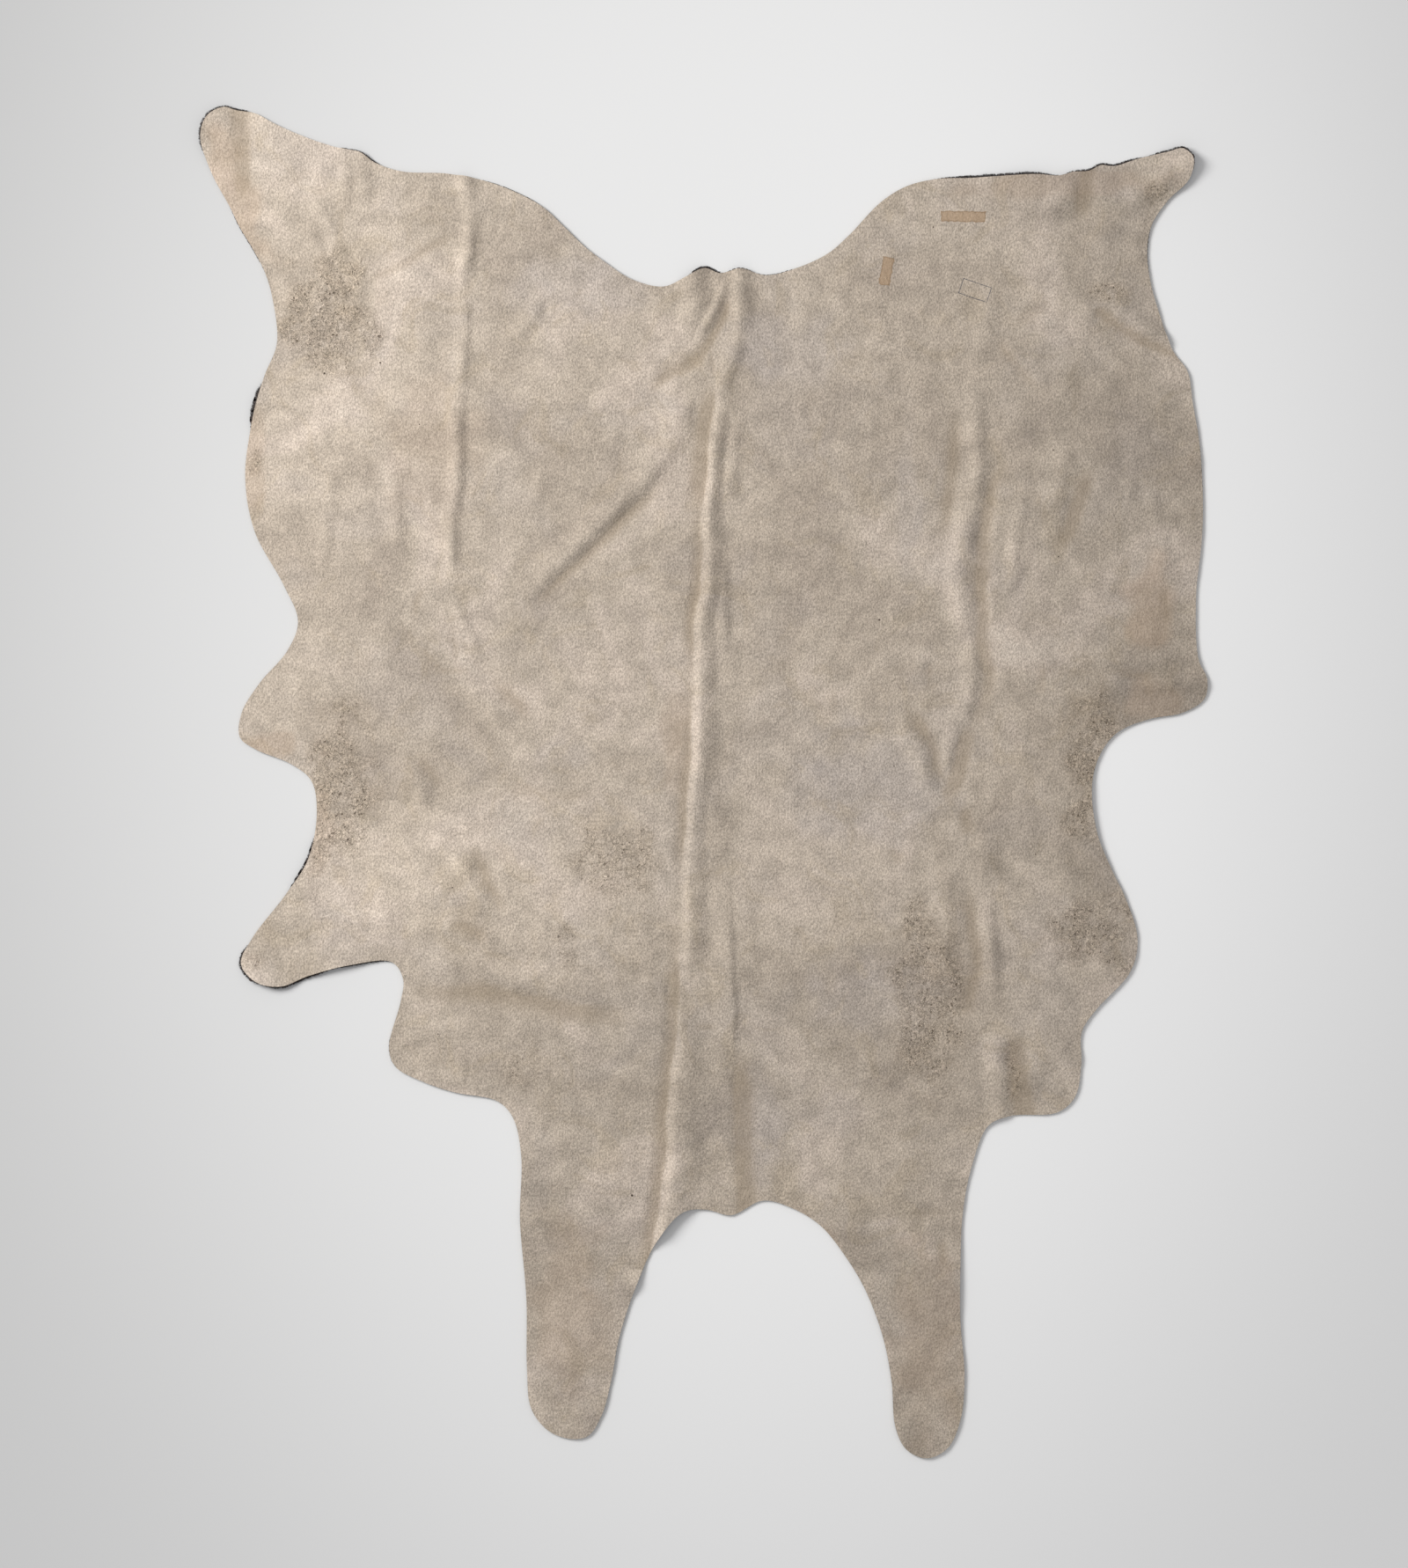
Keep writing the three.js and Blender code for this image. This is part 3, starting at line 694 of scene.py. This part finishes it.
def build_skin(materials):
    bm = cut_sheet()
    xy = places(bm)
    top, relief = heights(xy)
    mark(bm, "rough", np.clip(patches_at(xy, ROUGH), 0, 1))
    # Broad tone for the suede: partly the hide's own, partly painted light and shade.
    mark(bm, "tone_and_painted_light", patches_at(xy, TONE_AND_PAINTED_LIGHT))
    mark(bm, "tan", np.clip(patches_at(xy, TAN), 0, 1))
    mark(bm, "lilac", np.clip(patches_at(xy, LILAC), 0, 1))
    # How deep the troughs are, for the dirt and painted shade in the creases.
    mark(bm, "crease", np.clip(-relief / CREASE_DEEP, 0, 1))
    for vert, z in zip(bm.verts, top):
        vert.co.z = MM * (z - (EDGE_DROP if vert.is_boundary else 0))
    count = len(bm.faces)
    bmesh.ops.solidify(bm, geom=list(bm.faces), thickness=MM * SKIN)
    for face in list(bm.faces)[2 * count:]:
        face.material_index = 1
        for edge in face.edges:
            for beside in edge.link_faces:
                beside.material_index = 1
    skin = finish_piece(bm, "skin", materials)
    skin.data.set_sharp_from_angle(angle=math.radians(CRISP))
    return skin


def build_coat(materials):
    bm = cut_sheet()
    xy = places(bm)
    top, _ = heights(xy)
    upper = top - SKIN - 0.05
    lower = np.minimum(lift_of_coat(xy) + np.maximum(0, 0.5 * waves(xy, 26, 3.3)), upper - 1.0)
    hem = [v.is_boundary for v in bm.verts]
    out, shows = beside_rim(xy[hem] - MIDDLE)
    push = np.zeros((len(xy), 2))
    push[hem] = out * (shows * (HEM_SHARE + HEM_UNEVEN * waves(xy[hem], 9, 5.5)))[:, None]
    upper[hem] -= 0.6
    settled = {(round(v.co.x, 6), round(v.co.y, 6)): v.index for v in bm.verts}
    bmesh.ops.solidify(bm, geom=list(bm.faces), thickness=MM)
    for vert in bm.verts:
        i = settled[round(vert.co.x, 6), round(vert.co.y, 6)]
        z = upper[i] if vert.co.z > -0.5 * MM else lower[i]
        vert.co = (vert.co.x + MM * push[i][0], vert.co.y + MM * push[i][1], MM * z)
    return finish_piece(bm, "coat", materials)


def build_rim_hair(materials):
    """The tips of the coat that show past the rim: three-sided hairs that taper to a point, in one mesh."""
    rng = np.random.default_rng(SEED)
    rim = RIM_CURVE - MIDDLE
    out, shows = beside_rim(rim)
    share = 0.3 + shows / 3.0
    chosen = rng.choice(len(rim), HAIRS, p=share / share.sum())
    step = np.roll(rim, -1, axis=0) - rim
    foot = rim[chosen] + rng.random((HAIRS, 1)) * step[chosen]
    way = out[chosen]
    side = np.stack([way[:, 1], -way[:, 0]], axis=1)
    clump = waves(foot, 14, 1.9)
    lean = 0.55 * clump + rng.normal(0, 0.25, HAIRS)
    way = way + lean[:, None] * side + np.array([0, 0.35])
    way /= np.linalg.norm(way, axis=1)[:, None]
    past = shows[chosen] * (0.98 + 0.15 * waves(foot, 7, 4.1)) * rng.uniform(0.85, 1.15, HAIRS)
    tip = foot + way * np.maximum(past, 0.1)[:, None]
    root = foot - out[chosen] * rng.uniform(*HAIR_ROOTS, HAIRS)[:, None]
    middle = 0.5 * (root + tip) + side * rng.normal(0, 0.3, HAIRS)[:, None]
    under = heights(root + MIDDLE)[0] - SKIN
    low = lift_of_coat(root + MIDDLE)
    drop = rng.uniform(0.15, 0.75, HAIRS)
    root_z = under - drop * np.maximum(under - low, 1.2)
    tip_z = np.maximum(0.35, low + (root_z - low) * rng.uniform(0.2, 0.9, HAIRS))
    middle_z = 0.55 * root_z + 0.45 * tip_z + 0.1
    wide = HAIR_WIDTH * rng.uniform(0.6, 1.25, HAIRS)
    rings = []
    for centre, z, scale in ((root, root_z, 0.5), (middle, middle_z, 0.42)):
        for across, up in ((-1, -0.5), (1, -0.5), (0, 0.9)):
            rings.append(np.column_stack([centre + side * (across * scale * wide)[:, None],
                                          np.maximum(0.1, z + up * scale * wide)]))
    rings.append(np.column_stack([tip, tip_z]))
    corners = np.stack(rings, axis=1).reshape(-1, 3) * MM
    faces = []
    for start in range(0, 7 * HAIRS, 7):
        for a, b in ((0, 1), (1, 2), (2, 0)):
            faces.append((start + a, start + b, start + 3 + b, start + 3 + a))
            faces.append((start + 3 + a, start + 3 + b, start + 6))
        faces.append((start + 2, start + 1, start))
    mesh = bpy.data.meshes.new("rim_hair")
    mesh.from_pydata(corners.tolist(), [], faces)
    bm = bmesh.new()
    bm.from_mesh(mesh)
    bpy.data.meshes.remove(mesh)
    return finish_piece(bm, "rim_hair", materials)


def srgb(red, green, blue):
    """A colour as it looks on a screen, 0 to 255, as the linear colour that a node takes."""
    return tuple(((c / 255 + 0.055) / 1.055) ** 2.4 for c in (red, green, blue)) + (1.0,)


class Finish:
    """A material and short ways to add its nodes. Sizes and depths are in millimetres."""

    def __init__(self, name, **sockets):
        self.material = bpy.data.materials.new(name)
        self.material.use_nodes = True
        self.tree = self.material.node_tree
        self.shader = self.tree.nodes["Principled BSDF"]
        self.place = self.add("ShaderNodeTexCoord").outputs["Object"]
        for socket, value in sockets.items():
            self.shader.inputs[socket.replace("_", " ")].default_value = value

    def add(self, kind, **settings):
        node = self.tree.nodes.new(kind)
        for setting, value in settings.items():
            setattr(node, setting, value)
        return node

    def put(self, value, socket):
        if isinstance(value, bpy.types.NodeSocket):
            self.tree.links.new(value, socket)
        else:
            socket.default_value = value

    def math(self, operation, *values, clamp=False):
        node = self.add("ShaderNodeMath", operation=operation, use_clamp=clamp)
        for value, socket in zip(values, node.inputs):
            self.put(value, socket)
        return node.outputs[0]

    def vector(self, operation, *values):
        node = self.add("ShaderNodeVectorMath", operation=operation)
        for value, socket in zip(values, node.inputs):
            self.put(value, socket)
        return node.outputs["Value" if operation in ("LENGTH", "DISTANCE") else "Vector"]

    def noise(self, size, detail=3.0, rough=0.5, bend=0.0, where=None, out="Fac"):
        node = self.add("ShaderNodeTexNoise", noise_dimensions="2D")
        self.put(where or self.place, node.inputs["Vector"])
        for socket, value in (("Scale", 1 / (MM * size)), ("Detail", detail), ("Roughness", rough),
                              ("Distortion", bend)):
            node.inputs[socket].default_value = value
        return node.outputs[out]

    def cells(self, size, where):
        """How far each place is from the nearest of points scattered about as far apart as the size."""
        node = self.add("ShaderNodeTexVoronoi", voronoi_dimensions="2D")
        self.put(where, node.inputs["Vector"])
        node.inputs["Scale"].default_value = 1 / (MM * size)
        return node.outputs["Distance"]

    def shaken(self, size, far, where=None):
        """The place, shifted about by noise of a size, as far as given."""
        shift = self.vector("SUBTRACT", self.noise(size, where=where, out="Color"), (0.5, 0.5, 0.5))
        return self.vector("ADD", where or self.place, self.vector("MULTIPLY", shift, (2 * far * MM,) * 3))

    def rise(self, value, low, high, start=0.0, end=1.0):
        """Goes smoothly from start to end as the value goes from low to high."""
        node = self.add("ShaderNodeMapRange", interpolation_type="SMOOTHSTEP")
        for number, socket in zip((value, low, high, start, end), node.inputs):
            self.put(number, socket)
        return node.outputs[0]

    def blend(self, share, first, second, way="MIX"):
        node = self.add("ShaderNodeMix", data_type="RGBA", blend_type=way)
        for value, socket in ((share, node.inputs[0]), (first, node.inputs[6]), (second, node.inputs[7])):
            self.put(value, socket)
        return node.outputs[2]

    def grey(self, value):
        """A number as a grey colour."""
        join = self.add("ShaderNodeCombineColor")
        for socket in join.inputs[:3]:
            self.put(value, socket)
        return join.outputs[0]

    def shaded(self, colour, value):
        """The colour times a number."""
        return self.blend(1.0, colour, self.grey(value), "MULTIPLY")

    def ramp(self, value, *stops):
        """Goes through colours, each a place on the way from 0 to 1 and a colour as on a screen."""
        node = self.add("ShaderNodeValToRGB")
        self.put(value, node.inputs[0])
        points = node.color_ramp.elements
        while len(points) < len(stops):
            points.new(0.5)
        for point, (position, colour) in zip(points, stops):
            point.position, point.color = position, srgb(*colour)
        return node.outputs[0]

    def mark(self, name):
        return self.add("ShaderNodeAttribute", attribute_name=name).outputs["Fac"]

    def bump(self, height, deep, over=None):
        node = self.add("ShaderNodeBump")
        self.put(height, node.inputs["Height"])
        node.inputs["Distance"].default_value = MM * deep
        if over:
            self.put(over, node.inputs["Normal"])
        return node.outputs["Normal"]

    def done(self, colour, normal=None):
        self.put(colour, self.shader.inputs["Base Color"])
        if normal:
            self.put(normal, self.shader.inputs["Normal"])
        return self.material


# Colours of the suede's ground and of the marks on it, 0 to 255 as on a screen. The mottling goes from dark
# to light.
MOTTLING = (
    (0.30, (173, 160, 146)), (0.43, (181, 168, 153)), (0.53, (188, 175, 160)),
    (0.64, (196, 182, 168)), (0.76, (201, 188, 174)),
)
COOL_GREY = (180, 170, 163)
WARM_BROWN = (174, 159, 138)
FAT_STAIN = (180, 154, 129)
# Dirt and painted shade in the troughs of the folds.
CREASE_DIRT_AND_SHADE = (150, 133, 111)
KNIFE_ROUGH = (182, 161, 136)
# Pale torn flakes beside the cracks, with a painted highlight on their lips.
FLAKE_AND_HIGHLIGHT = (224, 208, 186)
# The dark of the cracks and pits: painted shade in them.
CRACK_AND_PIT_SHADE = (96, 78, 60)
TAPE = (172, 144, 114)
TAPE_HEM = (124, 98, 72)
INK = (82, 84, 92)
DIRT_SPECK = (48, 34, 28)


def suede_finish():
    """Dry split suede: soft cream mottling with browner and cooler patches, broad tone partly painted light
    and shade, a short nap, dirt and painted shade in the creases, knife-rough ground with torn grain, short
    cracks and a few pits with painted shade in them, pale flakes with painted highlights beside the cracks,
    and marks left by tape and ink."""
    f = Finish("suede", Roughness=0.94, Specular_IOR_Level=0.16, Sheen_Weight=0.12, Sheen_Roughness=0.5)
    rough, crease, tan = f.mark("rough"), f.mark("crease"), f.mark("tan")
    broad = f.noise(230, 3.5, 0.55, 0.6)
    colour = f.ramp(broad, *MOTTLING)
    cool = f.rise(f.noise(150, 3, 0.5, 0.4, f.vector("ADD", f.place, (3.1, 1.7, 0.4))), 0.50, 0.68, 0, 0.2)
    cool = f.math("ADD", cool, f.math("MULTIPLY", f.mark("lilac"), 0.55))
    colour = f.blend(cool, colour, srgb(*COOL_GREY))
    warm = f.rise(f.noise(95, 4, 0.6, 0.8, f.vector("ADD", f.place, (7.3, 0.2, 1.4))), 0.54, 0.70, 0, 0.35)
    colour = f.blend(warm, colour, srgb(*WARM_BROWN))
    # Broad tone, partly the hide's own and partly painted light and shade.
    tone_and_painted_light = f.math("ADD", 1.0, f.math("MULTIPLY", f.mark("tone_and_painted_light"), 0.16))
    colour = f.shaded(colour, tone_and_painted_light)
    blotch = f.noise(34, 5, 0.62, 0.3)
    colour = f.shaded(colour, f.rise(blotch, 0.25, 0.75, 0.88, 1.12))
    nap = f.noise(3.4, 3, 0.7, 0.2, f.vector("MULTIPLY", f.place, (1.25, 0.8, 1)))
    colour = f.shaded(colour, f.rise(nap, 0.28, 0.72, 0.72, 1.28))
    colour = f.blend(f.math("MULTIPLY", tan, 0.4), colour, srgb(*FAT_STAIN))
    # Dirt and painted shade in the troughs: the deeper, the darker.
    colour = f.blend(f.math("MULTIPLY", crease, 0.45), colour, srgb(*CREASE_DIRT_AND_SHADE))
    patchy = f.math("MULTIPLY", rough, f.rise(f.noise(26, 3, 0.6), 0.34, 0.58, 0.4, 1), clamp=True)
    colour = f.blend(f.math("MULTIPLY", patchy, 0.3), colour, srgb(*KNIFE_ROUGH))
    torn = f.noise(6.5, 4, 0.75, 1.6)
    grained = f.shaded(colour, f.rise(torn, 0.36, 0.64, 0.60, 1.38))
    colour = f.blend(patchy, colour, grained)
    bend = f.math("ABSOLUTE", f.math("SUBTRACT", f.noise(11, 2, 0.5, 1.2), 0.5))
    broken = f.math("MULTIPLY", patchy, f.rise(f.noise(9, 2, 0.5), 0.48, 0.58), clamp=True)
    cracks = f.math("MULTIPLY", f.rise(bend, 0.0, 0.03, 1, 0), broken)
    beside = f.math("ABSOLUTE", f.math("SUBTRACT", bend, 0.05))
    # Pale flakes along the cracks: partly torn fibres, partly a painted highlight on their lips.
    flakes_and_highlights = f.math("MULTIPLY", f.rise(beside, 0, 0.03, 1, 0), broken)
    pits = f.rise(f.cells(6.5, f.shaken(4, 1.2)), 0.13, 0.34, 1, 0)
    few = f.math("MULTIPLY", pits, f.rise(f.noise(12, 2, 0.5), 0.58, 0.66))
    pits = f.math("MULTIPLY", few, patchy, clamp=True)
    colour = f.blend(f.math("MULTIPLY", flakes_and_highlights, 0.75), colour, srgb(*FLAKE_AND_HIGHLIGHT))
    # Cracks and pits darkened with painted shade.
    dark = f.math("MAXIMUM", f.math("MULTIPLY", cracks, 0.7), pits)
    colour = f.blend(f.math("MULTIPLY", dark, 0.8), colour, srgb(*CRACK_AND_PIT_SHADE))
    colour = marks_on(f, colour)
    grain = f.noise(5.5, 4, 0.65, 0.3)
    coarse = f.noise(17, 3, 0.55, 0.4)
    normal = f.bump(coarse, 1.7)
    normal = f.bump(f.math("ADD", grain, f.math("MULTIPLY", nap, 0.6)), 1.3, normal)
    ground = f.math("MULTIPLY", patchy, torn)
    normal = f.bump(f.math("SUBTRACT", ground, f.math("MULTIPLY", dark, 0.9)), 2.4, normal)
    return f.done(colour, normal)


# Marks on the suede: middle, half width and half height in millimetres, turn in degrees.
Mark = namedtuple("Mark", "name x y wide high turn")
TAPE_MARKS = (
    Mark("tape mark on the right haunch", 441, 964, 38, 9, -1),
    Mark("short tape mark", 310, 871, 9.5, 24, -11),
)
INK_FRAME = Mark("empty ink frame", 461, 838, 25, 13, -19)
INK_LINE = 0.9
# Specks of dirt: place and radius in millimetres.
SPECKS = (
    (-552, 715, 2.0), (-647, 697, 2.2), (-485, 610, 1.4), (594, 566, 1.6),
    (298, 277, 2.0), (323, 28, 1.4), (603, 385, 1.3), (-429, -179, 1.5),
    (564, -122, 1.4), (-123, -703, 2.4), (-453, -428, 1.4), (390, 946, 1.6),
)


def from_mark(finish, spot):
    """How far outside a mark's outline each place is, in metres, and below 0 inside it."""
    node = finish.add("ShaderNodeMapping", vector_type="TEXTURE")
    finish.put(finish.place, node.inputs["Vector"])
    node.inputs["Location"].default_value = (MM * (spot.x - MIDDLE[0]), MM * (spot.y - MIDDLE[1]), 0)
    node.inputs["Rotation"].default_value = (0, 0, math.radians(spot.turn))
    split = finish.add("ShaderNodeSeparateXYZ")
    finish.put(node.outputs[0], split.inputs[0])
    wide = finish.math("SUBTRACT", finish.math("ABSOLUTE", split.outputs[0]), MM * spot.wide)
    high = finish.math("SUBTRACT", finish.math("ABSOLUTE", split.outputs[1]), MM * spot.high)
    return finish.math("MAXIMUM", wide, high)


def marks_on(f, colour):
    """Adds the tape marks, the faded ink frame and the specks of dirt to the suede's colour."""
    for spot in TAPE_MARKS:
        outside = f.math("ADD", from_mark(f, spot), f.rise(f.noise(9), 0.3, 0.7, -0.8 * MM, 0.8 * MM))
        colour = f.blend(f.rise(outside, -0.7 * MM, 0.7 * MM, 0.7, 0), colour, srgb(*TAPE))
        hem = f.rise(f.math("ABSOLUTE", f.math("ADD", outside, 0.8 * MM)), 0, 1.4 * MM, 0.5, 0)
        colour = f.blend(hem, colour, srgb(*TAPE_HEM))
    line = f.rise(f.math("ABSOLUTE", from_mark(f, INK_FRAME)), 0.5 * INK_LINE * MM, INK_LINE * MM, 1, 0)
    line = f.math("MULTIPLY", line, f.rise(f.noise(4), 0.35, 0.6, 0.45, 0.9))
    colour = f.blend(line, colour, srgb(*INK))
    for x, y, radius in SPECKS:
        away = f.vector("DISTANCE", f.vector("MULTIPLY", f.place, (1, 1, 0)),
                        (MM * (x - MIDDLE[0]), MM * (y - MIDDLE[1]), 0))
        colour = f.blend(f.rise(away, 0.6 * MM * radius, MM * radius, 0.9, 0), colour, srgb(*DIRT_SPECK))
    return colour


def cut_edge_finish():
    """The knife-cut rim of the leather, paler than the suede."""
    f = Finish("cut_edge", Roughness=0.9, Specular_IOR_Level=0.2)
    fibres = f.noise(2.2, 3, 0.6)
    colour = f.ramp(fibres, (0.3, (184, 168, 146)), (0.7, (222, 208, 188)))
    return f.done(colour, f.bump(fibres, 0.3))


def hair_finish():
    """Glossy near-black hair with brown streaks that run towards the tail."""
    f = Finish("hair", Roughness=0.45, Specular_IOR_Level=0.4, Sheen_Weight=0.1)
    along = f.vector("MULTIPLY", f.shaken(60, 9), (1, 0.06, 1))
    strands = f.noise(1.1, 3, 0.6, 0, along)
    locks = f.noise(9, 3, 0.6, 0.4, f.vector("MULTIPLY", f.place, (1, 0.3, 1)))
    colour = f.ramp(f.math("ADD", f.math("MULTIPLY", strands, 0.55), f.math("MULTIPLY", locks, 0.45)),
                    (0.35, (24, 18, 17)), (0.55, (42, 31, 28)), (0.72, (74, 55, 46)))
    normal = f.bump(locks, 2.0)
    return f.done(colour, f.bump(strands, 0.7, normal))


def key_place():
    """Where the middle of the key light is, in metres."""
    return KEY_AWAY * Vector(KEY_FROM).normalized()


def floor_finish():
    """A pale matt studio floor with painted shade that darkens it at the corners, and paler away from the key
    light, to even it out.
    """
    f = Finish("studio_floor", Roughness=0.95, Specular_IOR_Level=0.1)
    oval = f.vector("MULTIPLY", f.vector("SUBTRACT", f.place, (0, 0.5, 0)), (1.25, 0.8, 1))
    # Painted shade: darker towards the corners.
    shade = f.rise(f.vector("LENGTH", oval), 0.5, 2.2, 0.86, 0.60)
    nearer = f.math("DIVIDE", KEY_AWAY, f.vector("DISTANCE", f.place, key_place()))
    light = f.math("ADD", FILL, f.math("MULTIPLY", KEY_SHARE, f.math("POWER", nearer, 3.0)))
    return f.done(f.grey(f.math("DIVIDE", shade, light, clamp=True)))


def build_stage():
    bm = bmesh.new()
    bmesh.ops.create_grid(bm, x_segments=1, y_segments=1, size=FLOOR_REACH)
    mesh = bpy.data.meshes.new("studio_floor")
    bm.to_mesh(mesh)
    bm.free()
    mesh.materials.append(floor_finish())
    floor = bpy.data.objects.new("studio_floor", mesh)
    bpy.context.scene.collection.objects.link(floor)


def build_light():
    """A broad soft key light from the upper left, near enough to fall off to the right, and an even fill."""
    key = bpy.data.lights.new("key", "AREA")
    key.shape, key.size = "DISK", KEY_WIDE
    key.energy, key.color = KEY_POWER, (1.0, 0.995, 0.985)
    lamp = bpy.data.objects.new("key", key)
    bpy.context.scene.collection.objects.link(lamp)
    lamp.location = key_place()
    lamp.rotation_mode = "QUATERNION"
    lamp.rotation_quaternion = (-Vector(KEY_FROM)).to_track_quat("-Z", "Y")
    world = bpy.data.worlds.new("studio")
    world.use_nodes = True
    back = world.node_tree.nodes["Background"]
    back.inputs["Color"].default_value = (0.99, 0.99, 1.0, 1)
    back.inputs["Strength"].default_value = FILL
    bpy.context.scene.world = world


def build_camera():
    """Straight above the rug, with the tail end at the top of the picture."""
    lens = bpy.data.cameras.new("camera")
    lens.sensor_width = SENSOR
    lens.lens = SENSOR * CAMERA_HEIGHT / VIEW_LENGTH
    camera = bpy.data.objects.new("camera", lens)
    camera.location = (MM * VIEW_MIDDLE[0], MM * VIEW_MIDDLE[1], CAMERA_HEIGHT)
    bpy.context.scene.collection.objects.link(camera)
    bpy.context.scene.camera = camera


build_camera()
build_light()
build_stage()
suede, cut_edge, hair = suede_finish(), cut_edge_finish(), hair_finish()
skin = build_skin([suede, cut_edge])
coat = build_coat([hair])
rim_hair = build_rim_hair([hair])
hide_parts(NODE)
bpy.context.scene.view_settings.view_transform = "Standard"
